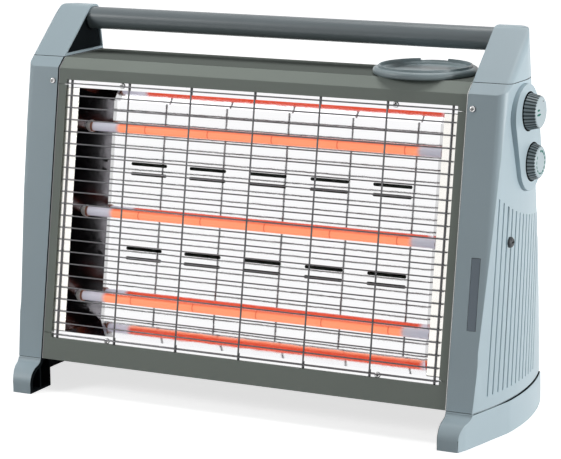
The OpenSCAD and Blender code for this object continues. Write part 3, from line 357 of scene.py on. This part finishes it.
def panel_bend(a, b):
    """True for an edge that runs along the whole width of a sheet."""
    return abs(a.x - b.x) > bend_least and abs(a.z - b.z) < bend_level


def dress(node, material):
    """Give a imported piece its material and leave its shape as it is."""
    nodes[node].data.materials.clear()
    nodes[node].data.materials.append(material)


for node in ("hood", "bottom_panel", "rear_panel", "left_side_strip", "right_side_strip"):
    panel = merged_copy(node, node + "_sheet")
    if node == "hood":
        bevel_edges(panel, panel_bend, bend_width, bend_segments)
    finish_copy(panel, node, body_paint, sheet_edge, sharp=sheet_sharp)
    if node == "hood":
        # The hood's flat top gets the darker paint: painted shade.
        second_material(panel, painted_shade_top, lambda face: face.normal.z > top_turn)
inner_steel = grained("inner_steel", (0.5, 0.5, 0.5), 0.45, metallic=1.0, grain=500.0)
for node in ("left_end_plate", "right_end_plate", "upper_rail", "lower_rail"):
    dress(node, inner_steel)


# ---- Reflector --------------------------------------------------------------------------
# A trough of polished aluminium sheet with pairs of slots, and two end walls with a pale
# flange. Inside the mouth the end walls are near-black mirror metal, a painted reflection of
# a dark room. The sheet is slightly wavy, so what it mirrors wobbles.
wall_edge = 0.0002
mouth_x = 0.221
mouth_step = 0.0003


def polished(name, colour, roughness, waviness):
    """Bright sheet: a mirror with a slow wave and fine rolling marks along X."""
    return grained(name, colour, roughness, metallic=1.0, shade=0.015, blotch=9.0, grain=60.0,
                   depth=waviness, spread=0.03)


reflector_sheet = polished("reflector_sheet", (0.97, 0.97, 0.98), 0.06, 0.00012)
dress("reflector", reflector_sheet)
end_sheet = polished("reflector_end_sheet", (0.93, 0.91, 0.87), 0.25, 0.00005)
painted_dark_reflection = polished("reflector_end_painted_reflection", (0.028, 0.027, 0.029), 0.08, 0.0001)
for side in ("left", "right"):
    wall = merged_copy(side + "_reflector_end", side + "_reflector_end_sheet")
    finish_copy(wall, side + "_reflector_end", end_sheet, wall_edge)
    # Inside the mouth the end walls are near-black: a painted reflection of a dark room.
    second_material(wall, painted_dark_reflection, lambda face: abs(face.center.x - centre_x) < mouth_x - mouth_step)


# ---- Tubes ------------------------------------------------------------------------------
# Three satin quartz tubes, each with a wound coil of resistance wire that glows inside. The
# glow turns deep red in bands at even steps, a painted reflection of the guard's upright
# wires, and past the coil's ends the quartz has a faint painted glow. Both ends sit in glazed
# white ceramic with an oxidised ring.
lean = math.radians(9.2)
face_foot = 0.0175
depth_shift = 0.1155


def on_face(up, inward):
    """Depth and height, in the model's frame, of a point up the leaning face and in from it."""
    y = face_foot + up * math.sin(lean) + inward * math.cos(lean)
    return y - depth_shift, up * math.cos(lean) - inward * math.sin(lean)


tube_levels = {"top": (0.3020, 0.006), "middle": (0.2065, 0.004), "bottom": (0.1110, 0.001)}
tube_inward = 0.022
glow_reach = 0.1825
glow_fade = 0.004
coil_radius = 0.0031
coil_wire = 0.0010
coil_pitch = 0.0018
coil_sides = 5
coil_steps = 12
hot_side = Vector((0, -0.95, -0.3)).normalized()
hot_within = 0.62
red_beyond = -0.12
wire_reflection_start = 0.0102
wire_reflection_pitch = 0.0786
wire_reflection_half = 0.0006
wire_reflection_soft = 1.8
wire_reflection_share = 0.6
unlit_quartz = (0.86, 0.86, 0.92, 1)
lit_quartz = (0.55, 0.09, 0.03, 1)
satin = 0.22
quartz_cover = 0.82
quartz_coat = 0.4
quartz_coat_satin = 0.08


def glowing(name, shift, hot, edge, strength, painted_glow_beyond):
    """A glow that ends where the coil ends, deep red at the back and in bands at even steps, a painted
    reflection of the guard's upright wires, with a faint painted glow beyond.
    """
    made = bpy.data.materials.new(name)
    made.use_nodes = True
    tree = made.node_tree
    shader = tree.nodes["Principled BSDF"]
    shader.inputs["Roughness"].default_value = satin
    shader.inputs["Emission Strength"].default_value = strength
    where = add_node(tree, "ShaderNodeTexCoord")
    parts = add_node(tree, "ShaderNodeSeparateXYZ")
    off = add_node(tree, "ShaderNodeMath", operation="SUBTRACT")
    off.inputs[1].default_value = centre_x + shift
    out = add_node(tree, "ShaderNodeMath", operation="ABSOLUTE")
    fade = add_node(tree, "ShaderNodeMapRange", interpolation_type="SMOOTHSTEP")
    fade.inputs["From Min"].default_value = glow_reach - glow_fade
    fade.inputs["From Max"].default_value = glow_reach + glow_fade
    fade.inputs["To Min"].default_value = 1
    fade.inputs["To Max"].default_value = 0
    turn = add_node(tree, "ShaderNodeVectorMath", operation="DOT_PRODUCT")
    turn.inputs[1].default_value = hot_side
    rise = add_node(tree, "ShaderNodeMapRange")
    rise.inputs["From Min"].default_value = hot_within
    rise.inputs["From Max"].default_value = red_beyond
    hue = add_node(tree, "ShaderNodeMix", data_type="RGBA")
    hue.inputs["A"].default_value = (*hot, 1)
    hue.inputs["B"].default_value = (*edge, 1)
    # Deep red bands at the guard uprights' pitch: a painted reflection of the upright wires.
    from_reflection = add_node(tree, "ShaderNodeMath", operation="SUBTRACT")
    from_reflection.inputs[1].default_value = wire_reflection_start
    to_reflection = add_node(tree, "ShaderNodeMath", operation="PINGPONG")
    to_reflection.inputs[1].default_value = wire_reflection_pitch / 2
    reflection_band = add_node(tree, "ShaderNodeMapRange", interpolation_type="SMOOTHSTEP")
    reflection_band.inputs["From Min"].default_value = wire_reflection_half
    reflection_band.inputs["From Max"].default_value = wire_reflection_half * wire_reflection_soft
    reflection_band.inputs["To Min"].default_value = wire_reflection_share
    reflection_band.inputs["To Max"].default_value = 0
    reflected_hue = add_node(tree, "ShaderNodeMix", data_type="RGBA")
    reflected_hue.inputs["B"].default_value = (*edge, 1)
    lit = add_node(tree, "ShaderNodeMix", data_type="RGBA")
    # Beyond the coil's reach the piece still glows faintly grey: a painted glow.
    lit.inputs["A"].default_value = (*painted_glow_beyond, 1)
    tint = add_node(tree, "ShaderNodeMix", data_type="RGBA")
    tint.inputs["A"].default_value = unlit_quartz
    tint.inputs["B"].default_value = lit_quartz
    tree.links.new(where.outputs["Object"], parts.inputs[0])
    tree.links.new(parts.outputs["X"], off.inputs[0])
    tree.links.new(off.outputs[0], out.inputs[0])
    tree.links.new(out.outputs[0], fade.inputs["Value"])
    tree.links.new(where.outputs["Normal"], turn.inputs[0])
    tree.links.new(turn.outputs["Value"], rise.inputs["Value"])
    tree.links.new(rise.outputs["Result"], hue.inputs["Factor"])
    tree.links.new(off.outputs[0], from_reflection.inputs[0])
    tree.links.new(from_reflection.outputs[0], to_reflection.inputs[0])
    tree.links.new(to_reflection.outputs[0], reflection_band.inputs["Value"])
    tree.links.new(hue.outputs["Result"], reflected_hue.inputs["A"])
    tree.links.new(reflection_band.outputs["Result"], reflected_hue.inputs["Factor"])
    tree.links.new(reflected_hue.outputs["Result"], lit.inputs["B"])
    tree.links.new(fade.outputs["Result"], lit.inputs["Factor"])
    tree.links.new(lit.outputs["Result"], shader.inputs["Emission Color"])
    tree.links.new(fade.outputs["Result"], tint.inputs["Factor"])
    tree.links.new(tint.outputs["Result"], shader.inputs["Base Color"])
    return made


for level, (up, shift) in tube_levels.items():
    quartz = glowing("quartz_" + level, shift, hot=(1.0, 0.35, 0.17), edge=(0.42, 0.022, 0.008),
                     strength=0.82, painted_glow_beyond=(0.20, 0.20, 0.235))
    shader = quartz.node_tree.nodes["Principled BSDF"]
    shader.inputs["Alpha"].default_value = quartz_cover
    shader.inputs["Coat Weight"].default_value = quartz_coat
    shader.inputs["Coat Roughness"].default_value = quartz_coat_satin
    dress("quartz_tube_" + level, quartz)
    hot_wire = glowing("hot_wire_" + level, shift, hot=(1.0, 0.46, 0.20), edge=(0.8, 0.10, 0.03),
                       strength=1.7, painted_glow_beyond=(0.05, 0.05, 0.05))
    bpy.ops.object.select_all(action="DESELECT")
    bpy.ops.mesh.primitive_circle_add(vertices=coil_sides, radius=coil_wire / 2,
                                      location=(0, 0, coil_radius), rotation=(math.pi / 2, 0, 0))
    coil = bpy.context.object
    coil.name = "coil_" + level
    bpy.ops.object.transform_apply(location=True, rotation=True, scale=True)
    apply_modifier(coil, "SCREW", axis="X", angle=2 * math.pi, screw_offset=coil_pitch,
                   iterations=int(2 * glow_reach / coil_pitch), steps=coil_steps,
                   render_steps=coil_steps, use_merge_vertices=True, merge_threshold=weld)
    y, z = on_face(up, tube_inward)
    coil.location = (centre_x + shift - glow_reach, y, z)
    bpy.ops.object.transform_apply(location=True, rotation=True, scale=True)
    bpy.ops.object.shade_smooth()
    coil.data.materials.append(hot_wire)
    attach(coil, "heater")
    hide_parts("heating_coil_" + level)

white_ceramic = grained("white_ceramic", (0.85, 0.84, 0.82), 0.25, shade=0.03, grain=400.0)
dress("ceramic_ends", white_ceramic)
brown_ring = grained("brown_ring", (0.30, 0.12, 0.07), 0.5, shade=0.25, blotch=120.0)
dress("tube_rings", brown_ring)


# ---- Guard ------------------------------------------------------------------------------
# Drawn steel wire, plated: level wires welded to upright ones, held at four places by
# screws whose heads overlap the wires. The wires run across the mouth of the reflector.
guard_wire = grained("guard_wire", (0.10, 0.10, 0.105), 0.30, metallic=1.0, shade=0.15, blotch=40.0,
                     grain=700.0)
wire_sides = 14
wire_smooth = math.radians(40)
cut_share = 0.5
cut_corner = math.radians(60)
level_radius = 0.00078
level_half = 0.235
level_count = 22
level_pitch = 0.01345
level_inward = 0.00195
upright_radius = 0.001
upright_inward = 0.0035
upright_ends = (0.0581, 0.3555)
upright_places = (0, 0.0782, -0.0782, 0.1563, -0.1563, 0.2305, -0.2305)
guard_middle = 0.2068


def straight_wire(radius, length, turn):
    """A length of round wire with its cut ends rounded over, about the origin."""
    bpy.ops.object.select_all(action="DESELECT")
    bpy.ops.mesh.primitive_cylinder_add(vertices=wire_sides, radius=radius, depth=length, rotation=turn)
    made = bpy.context.object
    bpy.ops.object.transform_apply(location=True, rotation=True, scale=True)
    apply_modifier(made, "BEVEL", width=radius * cut_share, segments=2, limit_method="ANGLE",
                   angle_limit=cut_corner)
    return made


def welded(pattern, places):
    """Copies of one wire at the given places, the pattern itself taken away."""
    made = []
    for place in places:
        piece = bpy.data.objects.new(pattern.name, pattern.data.copy())
        bpy.context.scene.collection.objects.link(piece)
        piece.location = place
        made.append(piece)
    bpy.data.objects.remove(pattern)
    return made


def face_place(x, up, inward):
    """A point across the leaning face from its middle, up it and in from it."""
    y, z = on_face(up, inward)
    return centre_x + x, y, z


levels = [guard_middle + (i - (level_count - 1) / 2) * level_pitch for i in range(level_count)]
level_wire = straight_wire(level_radius, 2 * level_half, (0, math.pi / 2, 0))
level_wires = welded(level_wire, [face_place(0, up, level_inward) for up in levels])
upright_low, upright_high = upright_ends
upright_wire = straight_wire(upright_radius, upright_high - upright_low, (-lean, 0, 0))
upright_middle = (upright_low + upright_high) / 2
upright_wires = welded(upright_wire,
                       [face_place(x, upright_middle, upright_inward) for x in upright_places])
guard = level_wires[0]
alone(guard)
for wire in level_wires + upright_wires:
    wire.select_set(True)
bpy.ops.object.join()
alone(guard)
guard.name = "guard_wires"
bpy.ops.object.transform_apply(location=True, rotation=True, scale=True)
bpy.ops.object.shade_smooth_by_angle(angle=wire_smooth)
guard.data.materials.append(guard_wire)
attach(guard, "heater")
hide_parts("wire_guard")


# ---- Screws -----------------------------------------------------------------------------
# Plated pan-head screws with cross recesses. Those of the guard and the posts have their rims
# and recesses painted dark, a painted reflection on the rims and painted shade in the
# recesses; those in the sides are dark all over, and the bushes' nuts are plated too.
screw_edge = 0.00025
rim_turn = 0.72
bright_screw = grained("bright_screw", (0.62, 0.62, 0.62), 0.2, metallic=1.0, shade=0.1, blotch=80.0)
painted_dark_edges = grained("painted_dark_edges", (0.03, 0.03, 0.035), 0.5, metallic=0.5)
face_out = Vector((0, -math.cos(lean), math.sin(lean)))
for node in ("guard_screws", "post_screws"):
    screws = merged_copy(node, node + "_plated")
    finish_copy(screws, node, bright_screw, screw_edge)
    # Rims and recess walls are painted dark: painted reflection and painted shade.
    second_material(screws, painted_dark_edges, lambda face: abs(face.normal.dot(face_out)) < rim_turn)
for node in ("foot_screws", "bracket_screws", "rear_screws", "bush_nuts"):
    dress(node, bright_screw)
dark_screw = grained("dark_screw", (0.03, 0.035, 0.04), 0.4)
dress("side_screws", dark_screw)


# ---- Handle -----------------------------------------------------------------------------
# A steel tube in darker blue-grey gloss paint, held in two hollow brackets of the housing's
# plastic. A cover with a collar closes each bracket towards the body, painted black for the
# bracket's shaded inside: painted shade.
handle_paint = grained("handle_paint", (0.19, 0.225, 0.24), 0.30, shade=0.05, grain=500.0,
                       depth=0.00002)
dress("handle_tube", handle_paint)
for side in ("left", "right"):
    bracket = merged_copy(side + "_handle_bracket", side + "_bracket_moulding")
    finish_copy(bracket, side + "_handle_bracket", housing_plastic, moulded_edge)
    # The cover is black: painted shade for the bracket's inside.
    dress(side + "_bracket_cover", black_plastic)


# ---- Control bezel ----------------------------------------------------------------------
# A raised moulding let into the right housing's side, of the same plastic. Behind each knob
# it has a round recess, painted black as the knob's shadow.
knob_axes = {"selector": (0.0115, 0.338, 0.3006), "thermostat": (0.0235, 0.283, 0.2962)}
knob_foot_x = 0.2880
knob_foot_radius = 0.0195
knob_face_radius = 0.0165
bezel_face_x = 0.2875
recess_radius = 0.0207
recess_depth = 0.0012
recess_sides = 96
recess_slack = 0.0001
recess_least = 0.0002
bezel = merged_copy("control_bezel", "bezel_moulding")
for y, z, face_x in knob_axes.values():
    bpy.ops.object.select_all(action="DESELECT")
    bpy.ops.mesh.primitive_cylinder_add(vertices=recess_sides, radius=recess_radius,
                                        depth=2 * recess_depth, location=(bezel_face_x, y, z),
                                        rotation=(0, math.pi / 2, 0))
    cutter = bpy.context.object
    apply_modifier(bezel, "BOOLEAN", operation="DIFFERENCE", object=cutter, solver="EXACT")
    bpy.data.objects.remove(cutter)
finish_copy(bezel, "control_bezel", housing_plastic, moulded_edge)


def in_recess(face):
    """True on the floor and wall of the recess behind either knob."""
    away = [math.hypot(face.center.y - y, face.center.z - z) for y, z, face_x in knob_axes.values()]
    return min(away) < recess_radius + recess_slack and face.center.x < bezel_face_x - recess_least


# The recesses are painted black: painted shadow of the knobs.
second_material(bezel, black_plastic, in_recess)


# ---- Knobs ------------------------------------------------------------------------------
# Two tapered knobs of blue-grey plastic with ribbed rims, pushed on brass spindles. The rims
# are painted darker than the faces and their grooves near black: painted shade. They turn
# on the bushes of the switch and the thermostat behind.
knob_edge = 0.0002
rim_facing = 0.55
knob_plastic = grained("knob_plastic", (0.45, 0.55, 0.59), 0.35)
painted_shade_rib = grained("painted_shade_rib", (0.21, 0.26, 0.28), 0.35)
painted_shade_groove = grained("painted_shade_groove", (0.07, 0.09, 0.095), 0.5, ior=1.2)
groove_count = 30
groove_sides = 12
groove_radius = 0.0009
groove_out = 0.42
groove_rim = 0.0010
groove_past = 0.002
groove_least = 0.0001
for name, (y, z, face_x) in knob_axes.items():
    knob = merged_copy(name + "_knob", name + "_knob_moulding")
    taper = math.atan2(knob_foot_radius - knob_face_radius, face_x - knob_foot_x)
    reach = (face_x - groove_rim - knob_foot_x) / math.cos(taper) + groove_past
    middle = (knob_foot_x + face_x - groove_rim) / 2
    share = (middle - knob_foot_x) / (face_x - knob_foot_x)
    cone = knob_foot_radius + (knob_face_radius - knob_foot_radius) * share
    bpy.ops.object.select_all(action="DESELECT")
    bpy.ops.mesh.primitive_cylinder_add(vertices=groove_sides, radius=groove_radius, depth=reach,
                                        location=(middle, 0, cone + groove_radius * groove_out),
                                        rotation=(0, math.pi / 2 + taper, 0))
    tool = bpy.context.object
    bpy.ops.object.transform_apply(location=True, rotation=True, scale=True)
    tools = [tool]
    for i in range(1, groove_count):
        copied = bpy.data.objects.new("groove_tool", tool.data.copy())
        bpy.context.scene.collection.objects.link(copied)
        copied.rotation_euler = (2 * math.pi * i / groove_count, 0, 0)
        tools.append(copied)
    alone(tool)
    for copied in tools:
        copied.select_set(True)
    bpy.ops.object.join()
    tool.location = (0, y, z)
    apply_modifier(knob, "BOOLEAN", operation="DIFFERENCE", object=tool, solver="EXACT")
    bpy.data.objects.remove(tool)
    finish_copy(knob, name + "_knob", knob_plastic, knob_edge, body=name)

    def in_groove(face):
        """True inside the cone of the knob's rim, so in one of its grooves."""
        along = (face.center.x - knob_foot_x) / (face_x - knob_foot_x)
        cone = knob_foot_radius + (knob_face_radius - knob_foot_radius) * along
        away = math.hypot(face.center.y - y, face.center.z - z)
        return face.normal.x < rim_facing and away < cone - groove_least

    # Rims painted darker and grooves near black: painted shade.
    second_material(knob, painted_shade_rib, lambda face: face.normal.x < rim_facing)
    second_material(knob, painted_shade_groove, in_groove)
spindle_brass = grained("spindle_brass", (0.6, 0.5, 0.28), 0.3, metallic=1.0)
dress("selector_spindle", spindle_brass)
dress("thermostat_spindle", spindle_brass)


# ---- Marks ------------------------------------------------------------------------------
# Printed marks on the knobs' faces, thin pads of ink with rounded rims: a dot and two
# strokes on the selector's face, and dashes round the thermostat's that widen on the way.
mark_teal = grained("mark_teal", (0.0, 0.15, 0.11), 0.5, grain=2500.0, ior=1.2)
mark_dark = grained("mark_dark", (0.03, 0.04, 0.04), 0.5, grain=2500.0)
ink_rise = 0.00012
ink_sides = 20
ink_share = 0.3


def ink_pad(name, body, ink, across, up, width, height, turn=0.0):
    """A rounded pad on a knob's face; across is towards the back, turn is about the axis."""
    y, z, face_x = knob_axes[body]
    bpy.ops.object.select_all(action="DESELECT")
    bpy.ops.mesh.primitive_cylinder_add(vertices=ink_sides, radius=0.5, depth=1,
                                        rotation=(0, math.pi / 2, 0))
    pad = bpy.context.object
    pad.name = name
    bpy.ops.object.transform_apply(location=True, rotation=True, scale=True)
    pad.scale = (ink_rise, width, height)
    pad.rotation_euler = (turn, 0, 0)
    pad.location = (face_x + ink_rise * ink_share, y + across, z + up)
    bpy.ops.object.transform_apply(location=True, rotation=True, scale=True)
    apply_modifier(pad, "BEVEL", width=ink_rise * ink_share, segments=1, limit_method="ANGLE",
                   angle_limit=cut_corner)
    pad.data.materials.append(ink)
    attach(pad, body)


ink_pad("selector_dot", "selector", mark_dark, across=0.0045, up=0.011, width=0.0018, height=0.0018)
ink_pad("selector_mark_short", "selector", mark_teal, across=-0.008, up=0.0027, width=0.007,
        height=0.0022)
ink_pad("selector_mark_long", "selector", mark_teal, across=-0.007, up=-0.0021, width=0.011,
        height=0.0024)
dial_radius = 0.0118
dial_marks = 13
dial_start = 150
dial_sweep = 300
dash_length = 0.0040
dash_width = 0.0014
dash_growth = 0.00012
for i in range(dial_marks):
    around = math.radians(dial_start + dial_sweep * i / (dial_marks - 1))
    ink_pad("dial_mark_%02d" % i, "thermostat", mark_teal, across=dial_radius * math.cos(around),
            up=dial_radius * math.sin(around), width=dash_width + dash_growth * i,
            height=dash_length, turn=around)


# ---- Indicator --------------------------------------------------------------------------
# A narrow lens of tinted plastic let into the right post, with a small glass lamp behind.
# The lens's sides are painted dark: painted shade.
lens_edge = 0.0005
lens_turn = 0.9
lens_plastic = grained("lens_plastic", (0.21, 0.265, 0.32), 0.2)
lens = merged_copy("indicator_lens", "lens_moulding")
finish_copy(lens, "indicator_lens", lens_plastic, lens_edge)
# The sides of the lens are painted dark: painted shade.
second_material(lens, painted_dark_edges, lambda face: abs(face.normal.dot(face_out)) < lens_turn)
lamp_glass = grained("lamp_glass", (0.8, 0.5, 0.4), 0.1)
dress("indicator_lamp", lamp_glass)


# ---- Inside -----------------------------------------------------------------------------
# Switch, thermostat, tip-over switch, cut-out and terminal block of pale and black plastics,
# which the housings and the reflector hide, and the black bush for the cord at the back.
pale_plastic = grained("pale_plastic", (0.7, 0.69, 0.65), 0.45)
for node in ("thermostat_body", "tip_over_switch", "terminal_block"):
    dress(node, pale_plastic)
for node in ("selector_switch", "thermal_cutout", "cord_bush"):
    dress(node, black_plastic)


# ---- Water tray -------------------------------------------------------------------------
# A moulded dish of dark blue-grey plastic that rests on the hood by its round ring and lifts
# out of the hole there.
tray_edge = 0.0004
tray_plastic = grained("tray_plastic", (0.30, 0.37, 0.39), 0.35, shade=0.05)
tray = merged_copy("water_tray", "tray_moulding")
finish_copy(tray, "water_tray", tray_plastic, tray_edge, body="tray")
